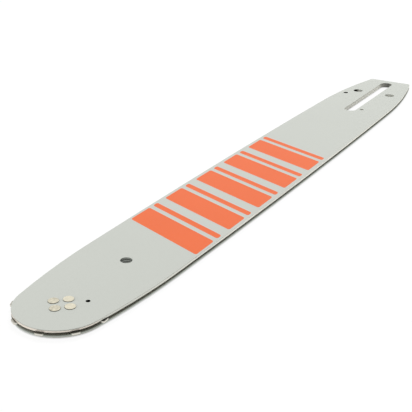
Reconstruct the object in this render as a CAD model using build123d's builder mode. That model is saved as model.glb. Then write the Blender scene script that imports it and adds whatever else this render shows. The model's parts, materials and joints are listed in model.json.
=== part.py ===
"""Laminated sprocket-nose guide bar for a chainsaw, lying flat.

Two side plates carry the rails on their edges. A core plate between them stops short of the rails, so
the gap that it leaves is the groove in which the chain runs. At the nose the core gives way to a toothed
sprocket, which turns on loose rollers round a race that is riveted between the side plates.

+X runs towards the nose, +Z up through the plates, and the origin is under the middle of the bar.
"""

import os
from math import acos, asin, atan2, degrees, floor, pi, sin

from build123d import *

# Chain that the bar carries, which sets the size of the nose
drive_link_pitch = 18.65
tooth_count = 9
strap_depth = 2.65

# Outline of the rails
bar_length = 516.0
rail_rise = 6.9
belly_radius = 9540.0
shoulder_from_nose = 84.0
tail_taper_length = 94.0
tail_end_width = 37.4
tail_corner_radius = 3.0
rail_chamfer = 0.2

# Laminations
side_plate_thickness = 1.35
groove_width = 1.3
groove_depth = 7.0

# Mounting end, measured from the tail
slot_width = 10.2
slot_length = 102.5
slot_end_wall = 7.7
adjuster_diameter = 8.2
adjuster_from_tail = 47.2
adjuster_spacing = 30.0
oil_hole_diameter = 4.2
oil_hole_from_tail = 59.7
oil_hole_from_rail = 6.1
locating_hole_diameter = 3.4
locating_hole_from_tail = 101.8
locating_hole_from_axis = 9.0

# Hanging hole, measured from the nose
hang_hole_diameter = 6.8
hang_hole_from_nose = 79.4

# Rivets and race of the nose bearing
rivet_count = 4
rivet_circle_radius = 5.3
rivet_shank_diameter = 4.0
rivet_hole_clearance = 0.05
rivet_head_diameter = 5.7
rivet_head_height = 0.5
rivet_head_bevel = 0.25
race_wall = 1.3
grease_hole_diameter = 2.5
grease_hole_orbit = 12.9
grease_hole_angle = 134.0

# Rollers and sprocket
roller_diameter = 3.0
roller_gap = 0.1
bearing_clearance = 0.05
side_clearance = 0.1
tang_depth = 6.8
tooth_proud = 1.3
tooth_tip_width = 4.6
tooth_tip_rounding = 0.6
pocket_floor_radius = 3.2
tooth_phase = 14.0
pocket_clearance = 0.8

# Places that follow from the dimensions above
nose_radius = drive_link_pitch / 2 / sin(pi / tooth_count) - strap_depth
half_width = nose_radius + rail_rise
nose_tip_x = bar_length / 2
tail_end_x = -bar_length / 2
nose_x = nose_tip_x - nose_radius

lower_plate_z = rivet_head_height
core_z = lower_plate_z + side_plate_thickness
upper_plate_z = core_z + groove_width
upper_face_z = upper_plate_z + side_plate_thickness

rivet_hole_radius = rivet_shank_diameter / 2 + rivet_hole_clearance
race_radius = rivet_circle_radius + rivet_shank_diameter / 2 + race_wall
roller_orbit = race_radius + bearing_clearance + roller_diameter / 2
sprocket_bore = roller_orbit + roller_diameter / 2 + bearing_clearance
roller_count = floor(pi / asin((roller_diameter + roller_gap) / 2 / roller_orbit))
tooth_tip_radius = nose_radius + tooth_proud
sprocket_root = nose_radius - tang_depth
running_thickness = groove_width - 2 * side_clearance

nose_plane = Plane((nose_x, 0, 0))
first_pocket = Vector(1, 0).rotate(Axis.Z, tooth_phase + 180 / tooth_count)
sprocket_plane = Plane((nose_x, 0, core_z + side_clearance), x_dir=first_pocket)


def rail_arcs(inset):
    """Arcs of one rail from the nose tip to the tail, set in by a distance: centre, radius, two angles."""
    nose = Vector(nose_x, 0)
    belly = Vector(0, half_width - belly_radius)

    # The shoulder leaves the belly at its station and runs out tangent to the nose circle
    shoulder_angle = acos((nose_tip_x - shoulder_from_nose) / belly_radius)
    outward = Vector(1, 0).rotate(Axis.Z, degrees(shoulder_angle))
    from_nose = belly + outward * belly_radius - nose
    shoulder_radius = (from_nose.dot(from_nose) - nose_radius**2) / 2 / (from_nose.dot(outward) - nose_radius)
    shoulder = nose + from_nose - outward * shoulder_radius
    nose_angle = atan2(nose.Y - shoulder.Y, nose.X - shoulder.X)

    # The tail leaves the belly where the taper starts and passes through the corner of the tail end
    taper_angle = acos((tail_end_x + tail_taper_length) / belly_radius)
    outward = Vector(1, 0).rotate(Axis.Z, degrees(taper_angle))
    taper_start = belly + outward * belly_radius
    to_corner = Vector(tail_end_x, tail_end_width / 2) - taper_start
    tail_radius = to_corner.dot(to_corner) / 2 / -to_corner.dot(outward)
    tail = taper_start - outward * tail_radius
    tail_angle = acos((tail_end_x - tail.X) / (tail_radius - inset))

    return (
        (nose, nose_radius - inset, 0, nose_angle),
        (shoulder, shoulder_radius - inset, nose_angle, shoulder_angle),
        (belly, belly_radius - inset, shoulder_angle, taper_angle),
        (tail, tail_radius - inset, taper_angle, tail_angle),
    )


def bar_outline(inset):
    """Face inside both rails, set in by a distance along the rails but not at the tail end."""
    with BuildSketch(mode=Mode.PRIVATE) as face:
        with BuildLine() as rail:
            for centre, radius, first, last in rail_arcs(inset):
                end = CenterArc(centre, radius, degrees(first), degrees(last - first))
            Line(end @ 1, (tail_end_x, 0))
            mirror(about=Plane.XZ)
        make_face()
    return face.sketch


def rail_height(x):
    """Half-width of the bar at a station of its tapered tail."""
    centre, radius, first, last = rail_arcs(0)[-1]
    return centre.Y + radius * sin(acos((x - centre.X) / radius))


adjuster_x = tail_end_x + adjuster_from_tail
oil_hole_x = tail_end_x + oil_hole_from_tail
oil_hole_y = rail_height(oil_hole_x) - oil_hole_from_rail
locating_hole_x = tail_end_x + locating_hole_from_tail
slot_x = tail_end_x + slot_end_wall + slot_length / 2
hang_hole_x = nose_tip_x - hang_hole_from_nose


def mounting_holes():
    """Openings that pass through all three laminations."""
    with BuildSketch(mode=Mode.PRIVATE) as holes:
        with Locations((slot_x, 0)):
            SlotOverall(slot_length, slot_width)
        with Locations((adjuster_x, adjuster_spacing / 2), (adjuster_x, -adjuster_spacing / 2)):
            Circle(adjuster_diameter / 2)
        with Locations((hang_hole_x, 0)):
            Circle(hang_hole_diameter / 2)
    return holes.sketch


def side_plate_face(hand):
    """Side plate with its holes; hand is 1 for the upper plate and -1 for the same plate turned over."""
    with BuildSketch(mode=Mode.PRIVATE) as face:
        add(bar_outline(0))
        fillet(face.vertices().group_by(Axis.X)[0], tail_corner_radius)
        add(mounting_holes(), mode=Mode.SUBTRACT)
        with Locations((oil_hole_x, -hand * oil_hole_y)):
            Circle(oil_hole_diameter / 2, mode=Mode.SUBTRACT)
        with Locations((locating_hole_x, hand * locating_hole_from_axis)):
            Circle(locating_hole_diameter / 2, mode=Mode.SUBTRACT)
        with Locations((nose_x, 0)):
            with PolarLocations(rivet_circle_radius, rivet_count):
                Circle(rivet_hole_radius, mode=Mode.SUBTRACT)
            with PolarLocations(grease_hole_orbit, 1, hand * grease_hole_angle):
                Circle(grease_hole_diameter / 2, mode=Mode.SUBTRACT)
    return face.sketch


# Side plates, with the outer edge of each rail broken
with BuildPart() as upper_side_plate:
    with BuildSketch(Plane.XY.offset(upper_plate_z)):
        add(side_plate_face(1))
    extrude(amount=side_plate_thickness)
    chamfer(upper_side_plate.faces().sort_by(Axis.Z)[-1].outer_wire().edges(), rail_chamfer)

with BuildPart() as lower_side_plate:
    with BuildSketch(Plane.XY.offset(lower_plate_z)):
        add(side_plate_face(-1))
    extrude(amount=side_plate_thickness)
    chamfer(lower_side_plate.faces().sort_by(Axis.Z)[0].outer_wire().edges(), rail_chamfer)

# Core plate, cut away round the sprocket and notched at the oil holes
with BuildPart() as core_plate:
    with BuildSketch(Plane.XY.offset(core_z)):
        add(bar_outline(groove_depth))
        add(mounting_holes(), mode=Mode.SUBTRACT)
        with Locations((nose_x, 0)):
            Circle(tooth_tip_radius + pocket_clearance, mode=Mode.SUBTRACT)
        with Locations((oil_hole_x, oil_hole_y), (oil_hole_x, -oil_hole_y)):
            Circle(oil_hole_diameter / 2, mode=Mode.SUBTRACT)
    extrude(amount=groove_width)

# Race, clamped between the side plates
with BuildPart() as inner_race:
    with BuildSketch(nose_plane.offset(core_z)):
        Circle(race_radius)
        with PolarLocations(rivet_circle_radius, rivet_count):
            Circle(rivet_hole_radius, mode=Mode.SUBTRACT)
    extrude(amount=groove_width)

# Rivet with a low bevelled head on each face of the bar
with BuildPart() as rivet:
    Cone(
        rivet_head_diameter / 2 - rivet_head_bevel,
        rivet_head_diameter / 2,
        rivet_head_height,
        align=(Align.CENTER, Align.CENTER, Align.MIN),
    )
    with Locations((0, 0, rivet_head_height)):
        Cylinder(
            rivet_shank_diameter / 2,
            (upper_face_z - lower_plate_z) / 2,
            align=(Align.CENTER, Align.CENTER, Align.MIN),
        )
    mirror(about=Plane.XY.offset((upper_face_z + lower_plate_z) / 2))

with BuildPart(nose_plane) as nose_rivets:
    with PolarLocations(rivet_circle_radius, rivet_count):
        add(rivet.part)

# Sprocket, a star of teeth with a round-bottomed pocket for each drive link
with BuildSketch(mode=Mode.PRIVATE) as drive_link_pocket:
    mouth_half_angle = 180 / tooth_count - degrees(asin(tooth_tip_width / 2 / tooth_tip_radius))
    mouth = Vector(tooth_tip_radius, 0).rotate(Axis.Z, mouth_half_angle)
    flank = mouth - Vector(sprocket_root + pocket_floor_radius, pocket_floor_radius)
    beyond = mouth + flank * (pocket_floor_radius / flank.X)
    with BuildLine():
        CenterArc((sprocket_root + pocket_floor_radius, 0), pocket_floor_radius, 0, 360)
        Line((beyond.X, -beyond.Y), (beyond.X, beyond.Y))
    make_hull()

with BuildPart() as nose_sprocket:
    with BuildSketch(sprocket_plane) as star:
        Circle(tooth_tip_radius)
        with PolarLocations(0, tooth_count):
            add(drive_link_pocket.sketch, mode=Mode.SUBTRACT)
        fillet(star.vertices().group_by(SortBy.DISTANCE)[-1], tooth_tip_rounding)
        Circle(sprocket_bore, mode=Mode.SUBTRACT)
    extrude(amount=running_thickness)


def nose_roller(index):
    """One loose roller of the nose bearing, at its place in the ring."""
    with BuildPart() as roller:
        with BuildSketch(nose_plane.offset(core_z + side_clearance)):
            with PolarLocations(roller_orbit, 1, index * 360 / roller_count):
                Circle(roller_diameter / 2)
        extrude(amount=running_thickness)
    return roller.part


pieces = {
    "upper_side_plate": upper_side_plate.part,
    "core_plate": core_plate.part,
    "lower_side_plate": lower_side_plate.part,
    "inner_race": inner_race.part,
    "nose_rivets": nose_rivets.part,
    "nose_sprocket": nose_sprocket.part,
}
for index in range(roller_count):
    pieces[f"nose_roller_{index + 1:02d}"] = nose_roller(index)

os.makedirs("parts", exist_ok=True)
for name, piece in pieces.items():
    piece.label = name
    export_step(piece, f"parts/{name}.step")
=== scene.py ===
"""Finish of a laminated chainsaw guide bar, laid out as an add-on.

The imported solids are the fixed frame. This file gives the plates their satin paint and bare rails, prints the
orange bands on the upper face, heads the four nose rivets, and sets the bar on a plain pale floor under soft
studio light. Lengths are in metres and every piece keeps its place in its mesh.
"""

import json
import math

import bpy
from bpy.props import FloatProperty, FloatVectorProperty, IntProperty, PointerProperty
from bpy.types import NodeSocket, Operator, Panel, PropertyGroup
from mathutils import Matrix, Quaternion, Vector


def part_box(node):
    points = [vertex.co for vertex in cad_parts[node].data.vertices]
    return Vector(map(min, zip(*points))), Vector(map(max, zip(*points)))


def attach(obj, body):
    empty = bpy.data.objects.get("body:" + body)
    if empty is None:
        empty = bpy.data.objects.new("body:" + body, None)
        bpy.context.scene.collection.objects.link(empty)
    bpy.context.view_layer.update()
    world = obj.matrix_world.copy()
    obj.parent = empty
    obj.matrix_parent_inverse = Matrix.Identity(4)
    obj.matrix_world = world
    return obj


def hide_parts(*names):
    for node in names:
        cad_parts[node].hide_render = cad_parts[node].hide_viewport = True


bl_info = {
    "name": "Guide Bar Finish",
    "version": (1, 0, 0),
    "blender": (4, 5, 0),
    "location": "View3D > Sidebar > Guide Bar",
    "description": "Paint, print, rivets and steel finishes of a sprocket-nose guide bar",
    "category": "Object",
}

MM = 0.001
WHITE = (1.0, 1.0, 1.0)
BLACK = (0.0, 0.0, 0.0)

# Slack that tells a flat face, or the wall of an opening, from what lies beside it
FACE_SLACK = 0.01 * MM
OPENING_SLACK = 0.2 * MM

# Most of a cloudy noise lies between these levels
NOISE_LOW = 0.3
NOISE_HIGH = 0.7

# Scales of the three axes that draw noise out into lines along the rails or along the bearing's axis
RAIL_LINES = (0.15, 0.15, 6.0)
BEARING_LINES = (1.0, 1.0, 0.1)

# Fineness of the modelled pieces
RIVET_SIDES = 64
RIM_STEPS = 4
CORNER_STEPS = 6
SMOOTH_ANGLE = math.radians(40)

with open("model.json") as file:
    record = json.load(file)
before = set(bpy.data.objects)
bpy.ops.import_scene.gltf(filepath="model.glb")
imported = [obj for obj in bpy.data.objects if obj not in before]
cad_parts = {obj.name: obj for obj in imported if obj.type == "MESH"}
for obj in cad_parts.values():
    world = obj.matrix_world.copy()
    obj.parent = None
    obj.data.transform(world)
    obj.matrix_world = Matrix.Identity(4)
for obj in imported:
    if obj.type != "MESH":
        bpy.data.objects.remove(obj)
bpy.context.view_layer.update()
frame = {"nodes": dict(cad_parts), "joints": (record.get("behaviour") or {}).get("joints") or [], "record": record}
joints = {joint["name"]: joint for joint in frame["joints"]}
mounts = {mount["name"]: mount for mount in frame["record"]["mounts"]}


def opening(name, dimension):
    """Middle of one of the record's openings, and one of its dimensions."""
    return Vector(mounts[name]["pos_m"]), mounts[name]["dims"][dimension] * MM


# Places that the solids give
upper_plate_low, upper_plate_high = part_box("upper_side_plate")
lower_plate_low, lower_plate_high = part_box("lower_side_plate")
rivets_low, rivets_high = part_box("nose_rivets")
_, sprocket_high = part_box("nose_sprocket")
nose_axis = Vector(joints["sprocket_spin"]["pos_m"])
nose_tip_x = upper_plate_high.x
nose_radius = nose_tip_x - nose_axis.x
sprocket_reach = sprocket_high.x - nose_axis.x
middle_x = (upper_plate_low.x + nose_tip_x) / 2
middle_z = (lower_plate_low.z + upper_plate_high.z) / 2
face_height = upper_plate_high.z - middle_z
groove_half = upper_plate_low.z - middle_z
sprocket_half = sprocket_high.z - middle_z

# Places that the openings give
slot, slot_length = opening("stud_slot", "slot_length_mm")
adjuster, adjuster_radius = opening("adjuster_hole_a", "r_mm")
inlet, inlet_radius = opening("lower_oil_inlet", "hole_r_mm")
hang_hole, hang_hole_radius = opening("hang_hole", "r_mm")
slot_tail_x = slot.x - slot_length / 2
slot_nose_x = slot.x + slot_length / 2
adjuster_reach = adjuster.y + adjuster_radius + OPENING_SLACK
inlet_reach = inlet.y + inlet_radius + OPENING_SLACK
hang_hole_end_x = hang_hole.x + hang_hole_radius + OPENING_SLACK

# Between the grease hole, which is the last opening, and the rail of the nose
openings_end_x = nose_axis.x - 6 * MM


def srgb(red, green, blue):
    """Linear colour of a screen colour given in 0 to 255."""
    shares = (channel / 255 for channel in (red, green, blue))
    return tuple(s / 12.92 if s <= 0.04045 else ((s + 0.055) / 1.055) ** 2.4 for s in shares)


def shade(rgb, factor):
    """A colour made lighter or darker."""
    return tuple(min(1.0, channel * factor) for channel in rgb)


def length(label, words, default):
    """A length that a user can change."""
    return FloatProperty(name=label, description=words, default=default, min=0, unit="LENGTH", precision=5)


def colour(label, words, default):
    """A colour that a user can change."""
    return FloatVectorProperty(name=label, description=words, default=default, min=0, max=1, subtype="COLOR")


def share(label, words, default):
    """A number from 0 to 1 that a user can change."""
    return FloatProperty(name=label, description=words, default=default, min=0, max=1, subtype="FACTOR")


def angle(label, words, degrees):
    """An angle that a user can change."""
    return FloatProperty(name=label, description=words, default=math.radians(degrees), subtype="ANGLE")


def power(label, words, default):
    """The power of a lamp that a user can change."""
    return FloatProperty(name=label, description=words, default=default, min=0, unit="POWER")


def point(label, words, default):
    """A point in space that a user can change."""
    return FloatVectorProperty(
        name=label, description=words, default=default, subtype="TRANSLATION", unit="LENGTH"
    )


class PlateSettings(PropertyGroup):
    """Finishes of the three laminations."""

    paint: colour("Paint", "Satin grey paint of the outer faces", srgb(200, 203, 196))
    paint_roughness: share("Paint Roughness", "Roughness of the paint", 0.425)
    paint_gloss: share("Paint Gloss", "Strength of the paint's reflection", 0.12)
    paint_grain: length("Paint Grain", "Size of the paint's fine grain", 0.5 * MM)
    paint_drift: length("Paint Drift", "Size of the slow changes in the paint's tone", 70 * MM)
    edge_break: length("Edge Break", "Height of the blunted edge between face and rail", 0.2 * MM)
    edge_paint: share("Edge Paint", "Cover of paint on the blunted edge along the straight", 0.6)
    # The dark line below the blunted edge is painted shade, and deepest on the nose's +Y side
    edge: colour("Edge", "Dark line where the paint ends on the rail", srgb(172, 169, 157))
    edge_line: length("Edge Line", "Height of the dark line below the blunted edge", 0.25 * MM)
    flank_line: share("Flank Line", "Depth of the dark line away from the nose's oily side", 0.2)
    straight_rail: colour("Straight Rail", "Ground steel along the straight", srgb(247, 246, 236))
    flank_rail: colour("Flank Rail", "Ground steel behind the nose", srgb(232, 232, 223))
    nose_rail: colour("Nose Rail", "Warmer ground steel round the nose", srgb(243, 235, 223))
    flank_from: length("Flank From", "How far behind the nose axis the flank's finish begins", 140 * MM)
    flank_full: length("Flank Full", "How far behind the nose axis the flank's finish is complete", 30 * MM)
    nose_full: length("Nose Full", "How far past its axis the nose's finish is complete", 6 * MM)
    # A darker, cooler copy of the rail steel for the lower plate, as painted shade
    shaded_lower_rail: colour("Lower Rail", "Oiled steel of the lower plate's rails", srgb(214, 220, 212))
    rail_metal: share("Rail Metal", "How far the ground rails mirror what is round them", 0.85)
    rail_roughness: share("Rail Roughness", "Roughness of the ground rails", 0.52)
    grinding: length("Grinding", "Size of the grinding lines on the rails", 0.9 * MM)
    # Painted shade on the lips of the groove: below it on the lower plate, and above it on the nose's +Y side
    oil: colour("Oil", "Film of oil on the lower lip of the groove", srgb(112, 116, 108))
    lower_lip_shade_reach: length("Oil Reach", "How far the oil has run down from the groove", 1.1 * MM)
    lip_reach: length("Lip Reach", "How far the nose's upper lip is dark above the groove", 0.6 * MM)
    lip_from: length("Lip From", "How far behind the nose axis the upper lip begins to darken", 45 * MM)
    # Where the painted shade on the nose's +Y side begins and is full
    side_shade_from: length("Oily From", "How far from the middle line the oil on the nose begins", 2 * MM)
    side_shade_full: length("Oily Full", "How far from the middle line the oil on the nose is full", 14 * MM)
    slot: colour("Slot", "Milled steel of the slot's wall", srgb(218, 218, 209))
    hole: colour("Hole", "Punched steel of the round holes", srgb(205, 206, 198))
    hang_hole: colour("Hanging Hole", "Dull steel of the hanging hole", srgb(172, 176, 170))
    seam: length("Seam", "How far a dark seam spreads from a joint of the plates in that hole", 0.42 * MM)
    # Also the painted shade on the nose's upper lip
    soaked: colour("Soaked", "Steel soaked dark by oil or grease", srgb(38, 38, 34))
    soak_from: length("Soak From", "How far past the adjuster hole's middle the oil begins", 0.8 * MM)
    soak_full: length("Soak Full", "How far past the adjuster hole's middle the oil is full", 2.4 * MM)
    # The slot's wall is darker towards its end
    slot_end_dark: share("Slot Soak", "Depth of the oil at the slot's end", 0.8)
    slot_end_dark_reach: length("Slot Soak Reach", "How far the oil has run from the slot's end", 6 * MM)
    groove: colour("Groove", "Dull steel inside the chain groove", srgb(151, 150, 141))
    # A darker copy of the groove's steel on the nose's +Y side, as painted shade
    nose_groove: colour("Nose Groove", "Oiled steel inside the groove of the nose", srgb(165, 165, 152))
    dull_metal: share("Dull Metal", "How far the groove and the openings mirror what is round them", 0.4)
    dull_roughness: share("Dull Roughness", "Roughness of the steel inside the groove", 0.475)
    stain: length("Stain", "Size of the stains inside the groove", 4 * MM)
    relief: length("Relief", "Depth of the paint's grain and of the grinding lines", 0.006 * MM)


class SprocketSettings(PropertyGroup):
    """Finish of the nose sprocket."""

    flank: colour("Flank", "Steel of the tooth flanks", srgb(153, 154, 143))
    tip: colour("Tip", "Polished steel of the tooth tips", srgb(214, 211, 201))
    # Painted shade on the flats inside the groove and on the +Y side, and on the teeth's upper edges there
    oiled: colour("Oiled", "Dark oil on the flats and the upper edges of the teeth", srgb(62, 62, 54))
    flat_steel: colour("Wiped", "Clean flats of the teeth that stand clear of the groove", srgb(178, 175, 165))
    flat_metal: share("Flat Metal", "How far the flats mirror what is round them", 0.6)
    roughness: share("Roughness", "Roughness of the flanks", 0.45)
    tip_roughness: share("Tip Roughness", "Roughness of the polished tips", 0.24)
    tip_from: length("Tip From", "How far below the tips the polish begins", 1.5 * MM)
    tip_full: length("Tip Full", "How far below the tips the polish is complete", 0.3 * MM)
    # Outside the nose's rail the painted shade leaves the flats on the -Y side
    unshaded_from: length("Wiped From", "How far outside the nose's rail the flats begin to clear", 0.1 * MM)
    unshaded_full: length("Wiped Full", "How far outside the nose's rail the flats are clear", 0.7 * MM)
    # Painted shade down a tooth from its upper edge, fading out past the middle towards -Y
    edge_shade_reach: length("Edge Oil", "Reach of the oil down a tooth from its upper edge", 0.4 * MM)
    side_shade_fade: length("Oil Fade", "How far past the middle the oil on the teeth fades out", 8 * MM)
    grain: length("Grain", "Size of the steel's grain", 0.5 * MM)
    relief: length("Relief", "Depth of the steel's grain", 0.008 * MM)


class BearingSettings(PropertyGroup):
    """Finish of the race and its rollers."""

    steel: colour("Steel", "Bright ground steel of the race and rollers", srgb(192, 192, 189))
    roughness: share("Roughness", "Roughness of the ground steel", 0.21)
    grinding: length("Grinding", "Size of the grinding lines", 0.3 * MM)
    relief: length("Relief", "Depth of the grinding lines", 0.002 * MM)


class RivetSettings(PropertyGroup):
    """Rivets of the nose bearing."""

    steel: colour("Steel", "Warm bright steel of the rivet heads", srgb(230, 224, 203))
    # The dark foot of a head is painted shade on its side wall and at its seat
    foot: colour("Foot", "Dark line where a head meets the plate", srgb(34, 32, 28))
    foot_from: length("Foot From", "Height on a head where the dark line begins to fade", 0.18 * MM)
    foot_end: length("Foot End", "Height on a head where the dark line ends", 0.36 * MM)
    roughness: share("Roughness", "Roughness of the rivet heads", 0.42)
    dents: length("Dents", "Size of the marks of the riveting tool", 1.6 * MM)
    scratches: length("Scratches", "Size of the fine scratches on a head", 0.25 * MM)
    relief: length("Relief", "Depth of the marks and scratches", 0.03 * MM)
    count: IntProperty(name="Count", description="Rivets round the nose axis", default=4, min=1)
    head_radius: length("Head Radius", "Radius of a rivet head", 2.85 * MM)
    shank_radius: length("Shank Radius", "Radius of a rivet shank", 2.0 * MM)
    crown_radius: length("Crown Radius", "Radius of a head inside its rounded rim", 2.3 * MM)
    rim: share("Rim", "Share of a head's height that its rim is rounded over", 0.62)
    dish: length("Dish", "Depth of the punch mark in a head", 0.05 * MM)


class PrintSettings(PropertyGroup):
    """Bands printed across the upper face."""

    ink: colour("Ink", "Orange of the printed bands", srgb(236, 115, 70))
    roughness: share("Roughness", "Roughness of the ink", 0.44)
    gloss: share("Gloss", "Strength of the ink's reflection", 0.12)
    cloud: length("Cloud", "Size of the faint clouds in the ink", 26 * MM)
    grain: length("Grain", "Size of the ink's fine grain", 0.4 * MM)
    relief: length("Relief", "Depth of the ink's grain", 0.005 * MM)
    from_nose: length("From Nose", "Distance from the nose tip to the first band", 115 * MM)
    half_span: length("Half Span", "Half the length of a band across the bar", 28.8 * MM)
    slant: length("Slant", "Shift of a band along the bar between its two ends", 20 * MM)
    pitch: length("Pitch", "Distance from one pair of bands to the next", 38 * MM)
    pairs: IntProperty(name="Pairs", description="Pairs of a broad and a narrow band", default=5, min=1)
    broad: length("Broad Band", "Width of a broad band along the bar", 20 * MM)
    narrow: length("Narrow Band", "Width of a narrow band along the bar", 5 * MM)
    gap: length("Gap", "Gap between the broad and the narrow band of a pair", 4 * MM)
    corner: length("Corner Radius", "Rounding of the corners of a band", 1.6 * MM)
    film: length("Film", "Thickness of the ink", 0.03 * MM)


class StageSettings(PropertyGroup):
    """Camera, light and floor."""

    camera_place: point("Camera Place", "Where the camera stands", (0.50897, 0.23951, 0.21549))
    azimuth: angle("Azimuth", "Direction of the camera round the bar, from the nose", 29.91)
    elevation: angle("Elevation", "Height of the camera above the horizon", 23.69)
    roll: angle("Roll", "Tilt of the camera about its line of sight", 0.907)
    lens: FloatProperty(name="Lens", description="Focal length", default=73.325, min=1, unit="CAMERA")
    sky: share("Sky", "Level of the light from all round", 0.5)
    key_power: power("Key Power", "Power of the soft key lamp", 187)
    key_size: length("Key Size", "Side of the key lamp", 2.0)
    key_place: point("Key Place", "Where the key lamp hangs, behind the tail", (-3.2, -1.2, 4.0))
    fill_power: power("Fill Power", "Power of the low fill lamp", 12)
    fill_size: length("Fill Size", "Side of the fill lamp", 1.0)
    fill_place: point("Fill Place", "Where the fill lamp stands, beside the nose", (1.3, -1.5, 0.45))
    floor: colour("Floor", "Pale floor", (0.8, 0.8, 0.8))
    floor_size: length("Floor Size", "Side of the floor", 20)
    floor_level: share("Floor Level", "Brightness of the open floor by the lamps alone", 0.7)
    floor_shadow: share("Floor Shadow", "Depth of the bar's shadow on the floor", 0.12)
    contact: length("Contact", "Reach of the dark line where the bar meets the floor", 0.6 * MM)


class GuideBarSettings(PropertyGroup):
    """All sizes and colours of the finish."""

    plates: PointerProperty(type=PlateSettings)
    sprocket: PointerProperty(type=SprocketSettings)
    bearing: PointerProperty(type=BearingSettings)
    rivets: PointerProperty(type=RivetSettings)
    bands: PointerProperty(type=PrintSettings)
    stage: PointerProperty(type=StageSettings)


class Finish:
    """A material, with short ways to add the nodes that shape it."""

    def __init__(self, name):
        self.material = bpy.data.materials.new(name)
        self.material.use_nodes = True
        self.nodes = self.material.node_tree.nodes
        self.links = self.material.node_tree.links
        self.shader = self.nodes["Principled BSDF"]

    def plug(self, socket, value):
        """Link a socket to an output, or set it to a value."""
        if isinstance(value, NodeSocket):
            self.links.new(value, socket)
        else:
            socket.default_value = value

    def set(self, inputs):
        """Plug the shader's inputs by their names."""
        for name, value in inputs.items():
            self.plug(self.shader.inputs[name], value)

    def place(self):
        """The place on the piece."""
        return self.nodes.new("ShaderNodeTexCoord").outputs["Object"]

    def axis(self, name):
        """One coordinate of the place on the piece."""
        node = self.nodes.new("ShaderNodeSeparateXYZ")
        self.plug(node.inputs[0], self.place())
        return node.outputs[name]

    def stretched(self, scale):
        """The place on the piece with its axes scaled, so that a pattern runs in lines."""
        node = self.nodes.new("ShaderNodeMapping")
        self.plug(node.inputs["Vector"], self.place())
        self.plug(node.inputs["Scale"], scale)
        return node.outputs[0]

    def noise(self, size, detail=2.0, vector=None):
        """Cloudy noise from 0 to 1 with features of a size in metres."""
        node = self.nodes.new("ShaderNodeTexNoise")
        self.plug(node.inputs["Vector"], vector or self.place())
        self.plug(node.inputs["Scale"], 1 / size)
        self.plug(node.inputs["Detail"], detail)
        return node.outputs["Fac"]

    def math(self, operation, first, second=0.0):
        """One step of arithmetic."""
        node = self.nodes.new("ShaderNodeMath")
        node.operation = operation
        self.plug(node.inputs[0], first)
        self.plug(node.inputs[1], second)
        return node.outputs[0]

    def below(self, value, limit):
        """1 where a value is under a limit, and 0 elsewhere."""
        return self.math("LESS_THAN", value, limit)

    def above(self, value, limit):
        """1 where a value is over a limit, and 0 elsewhere."""
        return self.math("GREATER_THAN", value, limit)

    def both(self, first, second):
        """Where two masks overlap."""
        return self.math("MULTIPLY", first, second)

    def either(self, first, second):
        """Where at least one of two masks lies."""
        return self.math("MAXIMUM", first, second)

    def outside(self, mask):
        """Where a mask doesn't lie."""
        return self.math("SUBTRACT", 1.0, mask)

    def distance(self, value, middle):
        """How far a value is from its middle, to either side."""
        return self.math("ABSOLUTE", self.math("SUBTRACT", value, middle))

    def height(self):
        """How far the place on the piece is from the bar's middle plane."""
        return self.distance(self.axis("Z"), middle_z)

    def ramp(self, value, low, high, to_low=0.0, to_high=1.0):
        """A value carried from one range to another, and held at its ends."""
        node = self.nodes.new("ShaderNodeMapRange")
        for name, number in (("From Min", low), ("From Max", high), ("To Min", to_low), ("To Max", to_high)):
            self.plug(node.inputs[name], number)
        self.plug(node.inputs["Value"], value)
        return node.outputs[0]

    def mix(self, factor, first, second):
        """Two numbers mixed by a factor."""
        node = self.nodes.new("ShaderNodeMix")
        self.plug(node.inputs["Factor"], factor)
        self.plug(node.inputs[2], first)
        self.plug(node.inputs[3], second)
        return node.outputs[0]

    def blend(self, factor, first, second):
        """Two colours mixed by a factor."""
        node = self.nodes.new("ShaderNodeMix")
        node.data_type = "RGBA"
        self.plug(node.inputs["Factor"], factor)
        for socket, value in ((node.inputs[6], first), (node.inputs[7], second)):
            self.plug(socket, value if isinstance(value, NodeSocket) else (*value, 1.0))
        return node.outputs[2]

    def vary(self, factor, rgb, darkest, lightest):
        """A colour that a factor takes from a darker to a lighter shade."""
        return self.blend(factor, shade(rgb, darkest), shade(rgb, lightest))

    def darken(self, rgb, noise, most):
        """A colour darkened by up to a share where noise is low."""
        return self.blend(self.ramp(noise, 0, 1, most, 0), rgb, BLACK)

    def uneven(self, noise, level, spread):
        """A number that cloudy noise takes a spread below and above its level."""
        return self.ramp(noise, NOISE_LOW, NOISE_HIGH, level - spread, level + spread)

    def bump(self, relief, depth):
        """A normal that rises by a depth where the relief is 1."""
        node = self.nodes.new("ShaderNodeBump")
        self.plug(node.inputs["Height"], relief)
        self.plug(node.inputs["Distance"], depth)
        return node.outputs[0]


def opening_mask(finish, reach, nose_end):
    """Walls of the openings: within a reach of the axis, from the slot's end to a station near the nose."""
    station = finish.axis("X")
    near_axis = finish.below(finish.distance(finish.axis("Y"), 0), reach)
    before_nose = finish.both(near_axis, finish.below(station, nose_end))
    return finish.both(before_nose, finish.above(station, slot_tail_x - OPENING_SLACK))


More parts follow.
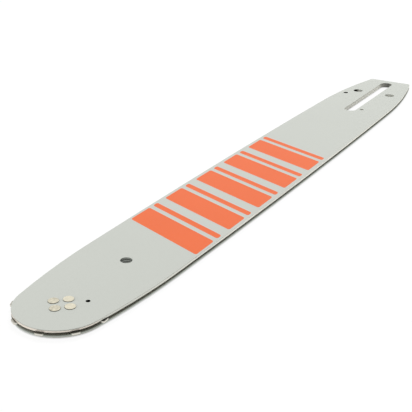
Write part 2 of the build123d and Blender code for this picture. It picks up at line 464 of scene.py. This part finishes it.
def opening_steel(finish, plates):
    """Steel of the openings' walls: bare at the tail with painted shade and light along the slot, dull at the
    hanging hole, dark where oil soaks in and towards the slot's end.
    """
    station, across = finish.axis("X"), finish.axis("Y")
    in_slot = finish.below(finish.distance(across, 0), adjuster.y / 2)
    # The slot's wall is painted darker towards its nose end and lighter towards its tail, as painted shade and
    # light
    slot_wall_shaded = finish.vary(
        finish.ramp(station, slot_nose_x, slot_tail_x), plates.slot, darkest=0.9, lightest=1.14
    )
    steel = finish.blend(in_slot, plates.hole, slot_wall_shaded)

    # The joints between the plates are dark seams in the hanging hole, and the grease hole is dark all over
    seam = finish.ramp(finish.distance(finish.height(), groove_half), plates.seam, 0)
    greased = finish.above(station, hang_hole_end_x)
    toward_nose = finish.blend(finish.either(seam, greased), plates.hang_hole, plates.soaked)
    at_tail = finish.below(station, middle_x)
    steel = finish.blend(at_tail, toward_nose, steel)

    # Oil from the inlet has reached the adjuster hole beside it, and the slot's wall is darker towards its end
    by_inlet = finish.ramp(across, -adjuster.y - plates.soak_from, -adjuster.y - plates.soak_full)
    slot_end = finish.ramp(
        station, slot_tail_x + plates.slot_end_dark_reach, slot_tail_x, 0, plates.slot_end_dark
    )
    soaked = finish.either(by_inlet, finish.both(in_slot, slot_end))
    return finish.blend(finish.both(at_tail, soaked), steel, plates.soaked)


def shaded_side(finish, plates):
    """The side of the bar towards +Y, where the groove of the nose and its teeth are painted in shade."""
    return finish.ramp(finish.axis("Y"), plates.side_shade_from, plates.side_shade_full)


def rail_steel(finish, plates, on_flank, grinding):
    """Ground steel of the rails, with painted shade on the lower plate's rails and along the groove's lips, and a
    dark line of painted shade where the paint ends.
    """
    station, level = finish.axis("X"), finish.axis("Z")
    lower = finish.below(level, middle_z)
    on_nose = finish.ramp(station, nose_axis.x, nose_axis.x + plates.nose_full)
    steel = finish.blend(on_flank, plates.straight_rail, plates.flank_rail)
    steel = finish.blend(on_nose, steel, plates.nose_rail)
    # The lower plate's rails take a darker, cooler copy of the steel, as painted shade
    steel = finish.blend(lower, steel, plates.shaded_lower_rail)
    steel = finish.darken(steel, grinding, most=0.14)

    # Painted shade darkens the lower lip of the groove, and on the nose's +Y side, which is painted in shade, also
    # the upper lip
    lower_lip_shade = finish.ramp(level, lower_plate_high.z - plates.lower_lip_shade_reach, lower_plate_high.z)
    steel = finish.blend(finish.both(lower, lower_lip_shade), steel, plates.oil)
    upper_lip_shade = finish.ramp(level, upper_plate_low.z + plates.lip_reach, upper_plate_low.z)
    upper_lip_shade = finish.both(upper_lip_shade, finish.outside(lower))
    shaded = shaded_side(finish, plates)
    toward_nose = finish.ramp(station, nose_axis.x - plates.lip_from, nose_axis.x)
    upper_lip_shade = finish.both(upper_lip_shade, finish.both(shaded, toward_nose))
    steel = finish.blend(upper_lip_shade, steel, plates.soaked)

    # The dark line is painted shade, deepest on the nose's +Y side, which is painted in shade, and the straight
    # has none
    on_line = finish.above(finish.height(), face_height - plates.edge_break - plates.edge_line)
    depth = finish.ramp(finish.both(on_nose, shaded), 0, 1, plates.flank_line, 1)
    depth = finish.math("MINIMUM", on_flank, depth)
    return finish.blend(finish.both(on_line, depth), steel, plates.edge)


def painted_plate(plates):
    """Satin paint on the outer faces, ground steel on the rails, duller steel in the openings and groove."""
    finish = Finish("painted_plate")
    station, height = finish.axis("X"), finish.height()
    on_flank = finish.ramp(station, nose_axis.x - plates.flank_from, nose_axis.x - plates.flank_full)

    # The openings' reach from the axis narrows at the tail, as the bar does
    reach = finish.ramp(station, slot_tail_x, inlet.x, adjuster_reach, inlet_reach)
    in_opening = opening_mask(finish, reach, openings_end_x)
    in_groove = finish.below(height, groove_half + FACE_SLACK)

    # Paint covers the faces, and the rails' blunted edges in full only towards the nose
    on_face = finish.above(height, face_height - FACE_SLACK)
    on_edge = finish.above(height, face_height - plates.edge_break - FACE_SLACK)
    on_edge = finish.both(on_edge, finish.outside(in_opening))
    edge_cover = finish.both(on_edge, finish.ramp(on_flank, 0, 1, plates.edge_paint, 1))
    cover = finish.either(on_face, edge_cover)
    grain = finish.noise(plates.paint_grain, detail=3)
    grain_share = 0.35
    tone = finish.mix(grain_share, finish.noise(plates.paint_drift, detail=1), grain)
    painted = finish.vary(tone, plates.paint, darkest=0.975, lightest=1.025)

    grinding = finish.noise(plates.grinding, vector=finish.stretched(RAIL_LINES))
    punched = finish.darken(opening_steel(finish, plates), grinding, most=0.1)
    stain = finish.noise(plates.stain)
    oiled = finish.vary(stain, plates.groove, darkest=1.3, lightest=2.0)
    # Round the nose on the +Y side the groove takes a darker copy, as painted shade
    nose_groove_shaded = finish.vary(stain, plates.nose_groove, darkest=0.9, lightest=1.4)
    oiled = finish.blend(finish.both(on_flank, shaded_side(finish, plates)), oiled, nose_groove_shaded)
    bare = finish.blend(in_opening, rail_steel(finish, plates, on_flank, grinding), punched)
    bare = finish.blend(in_groove, bare, oiled)
    dull = finish.either(in_opening, in_groove)
    bare_metal = finish.ramp(dull, 0, 1, plates.rail_metal, plates.dull_metal)
    worn = finish.uneven(grinding, plates.rail_roughness, spread=0.08)
    satin = finish.uneven(grain, plates.paint_roughness, spread=0.035)
    finish.set({
        "Base Color": finish.blend(cover, bare, painted),
        "Metallic": finish.both(bare_metal, finish.outside(cover)),
        "Roughness": finish.mix(cover, worn, satin),
        "Specular IOR Level": plates.paint_gloss,
        "Normal": finish.bump(finish.mix(cover, grinding, grain), plates.relief),
    })
    return finish.material


def core_steel(plates):
    """Dull oiled steel of the core plate, with its openings cut bright."""
    finish = Finish("core_steel")
    oiled = finish.vary(finish.noise(plates.stain), plates.groove, darkest=1.0, lightest=1.5)
    cut = opening_mask(finish, adjuster_reach, hang_hole_end_x)
    grain = finish.noise(plates.paint_grain)
    finish.set({
        "Base Color": finish.blend(cut, oiled, opening_steel(finish, plates)),
        "Metallic": plates.dull_metal,
        "Roughness": finish.uneven(grain, plates.dull_roughness, spread=0.075),
        "Normal": finish.bump(grain, plates.relief),
    })
    return finish.material


def sprocket_steel(sprocket):
    """Hardened steel, painted dark as shade inside the groove and on the +Y side, grey on the flanks and bright at
    the tooth tips.
    """
    finish = Finish("sprocket_steel")
    along = finish.distance(finish.axis("X"), nose_axis.x)
    across = finish.distance(finish.axis("Y"), nose_axis.y)
    squares = finish.math("ADD", finish.math("POWER", along, 2), finish.math("POWER", across, 2))
    radius = finish.math("SQRT", squares)
    tip = finish.ramp(radius, sprocket_reach - sprocket.tip_from, sprocket_reach - sprocket.tip_full)
    grain = finish.noise(sprocket.grain, detail=3)
    rim = finish.blend(tip, finish.vary(grain, sprocket.flank, darkest=0.83, lightest=1.17), sprocket.tip)

    # Painted shade darkens the flats in the groove, and on the +Y side also the flats and upper edges of the teeth
    shaded = finish.ramp(finish.axis("Y"), nose_axis.y - sprocket.side_shade_fade, nose_axis.y)
    flat = finish.above(finish.height(), sprocket_half - FACE_SLACK)
    clear = finish.ramp(radius, nose_radius + sprocket.unshaded_from, nose_radius + sprocket.unshaded_full)
    clear = finish.both(clear, finish.outside(shaded))
    edge_shade_band = finish.ramp(finish.axis("Z"), sprocket_high.z - sprocket.edge_shade_reach, sprocket_high.z)
    rim = finish.blend(finish.both(shaded, edge_shade_band), rim, sprocket.oiled)
    finish.set({
        "Base Color": finish.blend(flat, rim, finish.blend(clear, sprocket.oiled, sprocket.flat_steel)),
        "Metallic": finish.ramp(flat, 0, 1, 1, sprocket.flat_metal),
        "Roughness": finish.mix(tip, sprocket.roughness, sprocket.tip_roughness),
        "Normal": finish.bump(grain, sprocket.relief),
    })
    return finish.material


def bearing_steel(bearing):
    """Bright ground steel of the race and its rollers."""
    finish = Finish("bearing_steel")
    lines = finish.noise(bearing.grinding, vector=finish.stretched(BEARING_LINES))
    finish.set({
        "Base Color": finish.vary(lines, bearing.steel, darkest=0.83, lightest=1.17),
        "Metallic": 1.0,
        "Roughness": finish.uneven(lines, bearing.roughness, spread=0.05),
        "Normal": finish.bump(lines, bearing.relief),
    })
    return finish.material


def rivet_steel(rivets):
    """Warm bright steel with the fine marks of the riveting tool, painted dark as shade where a head meets the
    plate.
    """
    finish = Finish("rivet_steel")
    dents = finish.noise(rivets.dents)
    scratches = finish.noise(rivets.scratches)
    struck = finish.vary(dents, rivets.steel, darkest=0.86, lightest=1.12)

    # The rivets towards +X and -Y were struck harder, and are duller with clearer marks
    change = 2 * MM
    toward = finish.math("SUBTRACT", finish.axis("X"), finish.axis("Y"))
    harder = finish.ramp(toward, nose_axis.x - change, nose_axis.x + change)
    mark_low, mark_high = 0.35, 0.65
    marks = finish.ramp(dents, mark_low, mark_high)
    peened = finish.vary(marks, rivets.steel, darkest=0.7, lightest=1.0)
    struck = finish.blend(harder, struck, peened)
    # The foot of each head is painted dark, as the shade on its side wall and at its seat
    above_painted_foot = finish.ramp(finish.height(), face_height + rivets.foot_from, face_height + rivets.foot_end)
    scratch_share = 0.3
    finish.set({
        "Base Color": finish.blend(above_painted_foot, rivets.foot, struck),
        "Metallic": 1.0,
        "Roughness": finish.uneven(scratches, rivets.roughness, spread=0.08),
        "Normal": finish.bump(finish.mix(scratch_share, dents, scratches), rivets.relief),
    })
    return finish.material


def print_ink(bands):
    """Screen-printed orange with the faint unevenness of a thin film."""
    finish = Finish("print_ink")
    grain = finish.noise(bands.grain, detail=3)
    grain_share = 0.4
    tone = finish.mix(grain_share, finish.noise(bands.cloud), grain)
    finish.set({
        "Base Color": finish.vary(tone, bands.ink, darkest=0.95, lightest=1.05),
        "Roughness": finish.uneven(grain, bands.roughness, spread=0.04),
        "Specular IOR Level": bands.gloss,
        "Normal": finish.bump(grain, bands.relief),
    })
    return finish.material


def dress(material, *nodes):
    """Give solids of the frame their finish."""
    for node in nodes:
        slots = frame["nodes"][node].data.materials
        slots.clear()
        slots.append(material)


def start_piece():
    """Leave nothing selected, so that the next operator acts on the new piece alone."""
    bpy.ops.object.select_all(action="DESELECT")


def point_faces_outwards():
    """Turn all faces of the mesh in edit mode outwards, and leave edit mode."""
    bpy.ops.mesh.select_all(action="SELECT")
    bpy.ops.mesh.normals_make_consistent(inside=False)
    bpy.ops.object.mode_set(mode="OBJECT")


def copy_piece(pattern, shift):
    """A copy of a piece with its own mesh, moved by a shift."""
    start_piece()
    pattern.select_set(True)
    bpy.context.view_layer.objects.active = pattern
    bpy.ops.object.duplicate()
    bpy.ops.transform.translate(value=shift)
    return bpy.context.object


def keep_piece(name, material):
    """Name the active object, put its place into its mesh, and let it ride on the bar."""
    piece = bpy.context.object
    piece.name = name
    piece.data.name = name
    bpy.ops.object.transform_apply(location=True, rotation=True, scale=True)
    piece.data.materials.clear()
    piece.data.materials.append(material)
    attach(piece, "bar")
    return piece


class GUIDEBAR_OT_side_plates(Operator):
    """Paint the side plates and bare their rails"""

    bl_idname = "guidebar.side_plates"
    bl_label = "Side Plates"

    def execute(self, context):
        dress(painted_plate(context.scene.guide_bar.plates), "upper_side_plate", "lower_side_plate")
        return {"FINISHED"}


class GUIDEBAR_OT_core_plate(Operator):
    """Give the core plate its dark oiled steel"""

    bl_idname = "guidebar.core_plate"
    bl_label = "Core Plate"

    def execute(self, context):
        dress(core_steel(context.scene.guide_bar.plates), "core_plate")
        return {"FINISHED"}


class GUIDEBAR_OT_nose_sprocket(Operator):
    """Give the nose sprocket its hardened steel"""

    bl_idname = "guidebar.nose_sprocket"
    bl_label = "Nose Sprocket"

    def execute(self, context):
        dress(sprocket_steel(context.scene.guide_bar.sprocket), "nose_sprocket")
        return {"FINISHED"}


class GUIDEBAR_OT_nose_bearing(Operator):
    """Give the race and its rollers their ground steel"""

    bl_idname = "guidebar.nose_bearing"
    bl_label = "Nose Bearing"

    def execute(self, context):
        rollers = [node for node in frame["nodes"] if node.startswith("nose_roller")]
        dress(bearing_steel(context.scene.guide_bar.bearing), "inner_race", *rollers)
        return {"FINISHED"}


def rivet_rings(rivets):
    """Radius and height of a rivet's rings, from the lower punch mark over rim and shank to the upper one."""
    bottom, top = rivets_low.z, rivets_high.z
    head = lower_plate_low.z - bottom
    crown = rivets.crown_radius
    overhang = rivets.head_radius - crown
    bends = [math.pi / 2 * (step + 1) / RIM_STEPS for step in range(RIM_STEPS)]
    punch_mark = (0.25, 0.6, 1.0)
    half = [(reach * crown, rivets.dish * (1 - reach ** 2)) for reach in punch_mark]
    half += [
        (crown + overhang * math.sin(bend), rivets.rim * head * (1 - math.cos(bend))) for bend in bends
    ]
    half += [(rivets.head_radius, head), (rivets.shank_radius, head)]
    lower = [(radius, bottom + depth) for radius, depth in half]
    return lower + [(radius, top - depth) for radius, depth in reversed(half)]


def model_rivet(rivets):
    """One rivet on the nose axis: two low crowned heads with a punch mark, joined by a shank."""
    rings = rivet_rings(rivets)
    first_radius, first_z = rings[0]
    start_piece()
    bpy.ops.mesh.primitive_circle_add(
        vertices=RIVET_SIDES,
        radius=first_radius,
        fill_type="NGON",
        location=(nose_axis.x, nose_axis.y, first_z),
    )
    bpy.ops.object.transform_apply(location=True, rotation=False, scale=False)
    bpy.ops.object.mode_set(mode="EDIT")
    for (radius, z), (next_radius, next_z) in zip(rings, rings[1:]):
        growth = next_radius / radius
        bpy.ops.mesh.extrude_region_move(TRANSFORM_OT_translate={"value": (0, 0, next_z - z)})
        bpy.ops.transform.resize(
            value=(growth, growth, 1), center_override=(nose_axis.x, nose_axis.y, next_z)
        )
    point_faces_outwards()
    return bpy.context.object


class GUIDEBAR_OT_rivets(Operator):
    """Model the four nose rivets, headed on both faces"""

    bl_idname = "guidebar.rivets"
    bl_label = "Nose Rivets"

    def execute(self, context):
        rivets = context.scene.guide_bar.rivets
        orbit = (rivets_high.x - rivets_low.x) / 2 - rivets.head_radius
        pattern = model_rivet(rivets)
        turns = [2 * math.pi * index / rivets.count for index in range(rivets.count)]
        copies = [copy_piece(pattern, (orbit * math.cos(turn), orbit * math.sin(turn), 0)) for turn in turns]
        bpy.data.objects.remove(pattern)
        for copy in copies:
            copy.select_set(True)
        bpy.ops.object.join()
        bpy.ops.object.shade_smooth_by_angle(angle=SMOOTH_ANGLE)
        piece = keep_piece("headed_rivets", rivet_steel(rivets))
        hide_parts("nose_rivets")
        return {"FINISHED"}


def model_band(bands, nose_end, width):
    """One slanted band of ink with rounded corners, its nose end at a station of the bar."""
    start_piece()
    bpy.ops.mesh.primitive_plane_add(size=1, location=(nose_end - width / 2, 0, upper_plate_high.z))
    bpy.ops.transform.resize(value=(width, 2 * bands.half_span, 1))
    bpy.ops.object.transform_apply(location=True, rotation=True, scale=True)

    # Slant the band, then round its corners by less than half of a narrow one's width
    for vertex in bpy.context.object.data.vertices:
        vertex.co.x += math.copysign(bands.slant / 2, vertex.co.y)
    most_rounding = 0.45
    corner = min(bands.corner, most_rounding * width)
    bpy.ops.object.mode_set(mode="EDIT")
    bpy.ops.mesh.select_all(action="SELECT")
    bpy.ops.mesh.bevel(affect="VERTICES", offset=corner, segments=CORNER_STEPS)
    bpy.ops.mesh.select_all(action="SELECT")
    bpy.ops.mesh.extrude_region_move(TRANSFORM_OT_translate={"value": (0, 0, bands.film)})
    point_faces_outwards()
    return bpy.context.object


class GUIDEBAR_OT_print(Operator):
    """Print pairs of slanted orange bands across the upper face"""

    bl_idname = "guidebar.print"
    bl_label = "Printed Bands"

    def execute(self, context):
        bands = context.scene.guide_bar.bands
        ink = print_ink(bands)
        broad_end = nose_tip_x - bands.from_nose
        narrow_end = broad_end - bands.broad - bands.gap
        kinds = (("broad_band", broad_end, bands.broad), ("narrow_band", narrow_end, bands.narrow))
        for name, nose_end, width in kinds:
            pattern = model_band(bands, nose_end, width)
            for pair in range(bands.pairs):
                copy_piece(pattern, (-pair * bands.pitch, 0, 0))
                keep_piece(f"{name}_{pair + 1}", ink)
            bpy.data.objects.remove(pattern)
        return {"FINISHED"}


def floor_finish(stage):
    """Pale floor, white in the open, with a faint shadow that deepens where the bar meets it."""
    finish = Finish("pale_floor")
    path = finish.nodes.new("ShaderNodeLightPath")
    mirrored = finish.either(path.outputs["Is Glossy Ray"], path.outputs["Is Transmission Ray"])
    seen = finish.either(path.outputs["Is Camera Ray"], mirrored)
    contact = finish.nodes.new("ShaderNodeAmbientOcclusion")
    finish.plug(contact.inputs["Distance"], stage.contact)

    # What the shadow may darken comes from the lamps, and the glow makes up the rest of white; ambient occlusion
    # takes the glow away where the bar meets the floor, as a painted contact shadow
    glow = 1 - stage.floor_level * stage.floor_shadow
    finish.set({
        "Base Color": finish.blend(seen, stage.floor, shade(stage.floor, stage.floor_shadow)),
        "Roughness": 1.0,
        "Specular IOR Level": 0.0,
        "Emission Color": (*WHITE, 1.0),
        "Emission Strength": finish.both(finish.both(seen, glow), contact.outputs["AO"]),
    })
    return finish.material


def light_world(stage):
    """Even light from all round, shown as white to the camera and to metal."""
    world = bpy.data.worlds.new("studio")
    world.use_nodes = True
    nodes, links = world.node_tree.nodes, world.node_tree.links
    background = nodes["Background"]
    background.inputs["Color"].default_value = (*WHITE, 1.0)
    path = nodes.new("ShaderNodeLightPath")
    seen = path.outputs["Is Camera Ray"]
    for name in ("Is Glossy Ray", "Is Transmission Ray"):
        adder = nodes.new("ShaderNodeMath")
        adder.use_clamp = True
        links.new(seen, adder.inputs[0])
        links.new(path.outputs[name], adder.inputs[1])
        seen = adder.outputs[0]
    level = nodes.new("ShaderNodeMapRange")
    links.new(seen, level.inputs["Value"])
    level.inputs["To Min"].default_value = stage.sky
    level.inputs["To Max"].default_value = 1.0
    links.new(level.outputs[0], background.inputs["Strength"])
    bpy.context.scene.world = world


def add_softbox(name, position, aim, size, watts):
    """A square area lamp turned to a point. Steel and paint don't mirror it, so no view is washed out."""
    start_piece()
    bpy.ops.object.light_add(type="AREA", location=position)
    lamp = bpy.context.object
    lamp.name = name
    lamp.data.size = size
    lamp.data.energy = watts
    lamp.visible_glossy = False
    lamp.rotation_euler = (aim - Vector(position)).to_track_quat("-Z", "Y").to_euler()


def add_camera(stage):
    """The camera at the photograph's place, turned by its azimuth, elevation and roll."""
    start_piece()
    bpy.ops.object.camera_add(location=stage.camera_place)
    camera = bpy.context.object
    level = math.cos(stage.elevation)
    back = Vector((
        level * math.cos(stage.azimuth),
        level * math.sin(stage.azimuth),
        math.sin(stage.elevation),
    ))
    aimed = (-back).to_track_quat("-Z", "Y") @ Quaternion((0, 0, 1), stage.roll)
    camera.rotation_euler = aimed.to_euler()
    camera.data.lens = stage.lens
    camera.data.clip_start = 10 * MM
    bpy.context.scene.camera = camera


class GUIDEBAR_OT_stage(Operator):
    """Set the floor, the light and the camera"""

    bl_idname = "guidebar.stage"
    bl_label = "Stage"

    def execute(self, context):
        stage = context.scene.guide_bar.stage
        start_piece()
        bpy.ops.mesh.primitive_plane_add(size=stage.floor_size)
        floor = context.object
        floor.name = "floor"
        floor.data.materials.append(floor_finish(stage))
        light_world(stage)
        add_softbox("key", stage.key_place, Vector(), stage.key_size, stage.key_power)
        under_nose = Vector((nose_axis.x, nose_axis.y, 0))
        add_softbox("fill", stage.fill_place, under_nose, stage.fill_size, stage.fill_power)
        add_camera(stage)
        context.scene.view_settings.view_transform = "Standard"
        return {"FINISHED"}


STEPS = (
    GUIDEBAR_OT_side_plates,
    GUIDEBAR_OT_core_plate,
    GUIDEBAR_OT_nose_sprocket,
    GUIDEBAR_OT_nose_bearing,
    GUIDEBAR_OT_rivets,
    GUIDEBAR_OT_print,
    GUIDEBAR_OT_stage,
)


class GUIDEBAR_PT_finish(Panel):
    """Sizes, colours and steps of the guide bar's finish"""

    bl_label = "Guide Bar"
    bl_idname = "GUIDEBAR_PT_finish"
    bl_space_type = "VIEW_3D"
    bl_region_type = "UI"
    bl_category = "Guide Bar"

    def draw(self, context):
        settings = context.scene.guide_bar
        for group_name in GuideBarSettings.__annotations__:
            group = getattr(settings, group_name)
            box = self.layout.box()
            for name in group.__annotations__:
                box.prop(group, name)
        for step in STEPS:
            self.layout.operator(step.bl_idname)


CLASSES = (
    PlateSettings,
    SprocketSettings,
    BearingSettings,
    RivetSettings,
    PrintSettings,
    StageSettings,
    GuideBarSettings,
    *STEPS,
    GUIDEBAR_PT_finish,
)


def register():
    """Add the classes and the settings."""
    for entry in CLASSES:
        bpy.utils.register_class(entry)
    bpy.types.Scene.guide_bar = PointerProperty(type=GuideBarSettings)


def unregister():
    """Take the settings and the classes away."""
    del bpy.types.Scene.guide_bar
    for entry in reversed(CLASSES):
        bpy.utils.unregister_class(entry)


def main():
    """Run every step."""
    register()
    bpy.ops.guidebar.side_plates()
    bpy.ops.guidebar.core_plate()
    bpy.ops.guidebar.nose_sprocket()
    bpy.ops.guidebar.nose_bearing()
    bpy.ops.guidebar.rivets()
    bpy.ops.guidebar.print()
    bpy.ops.guidebar.stage()


if __name__ == "__main__":
    main()
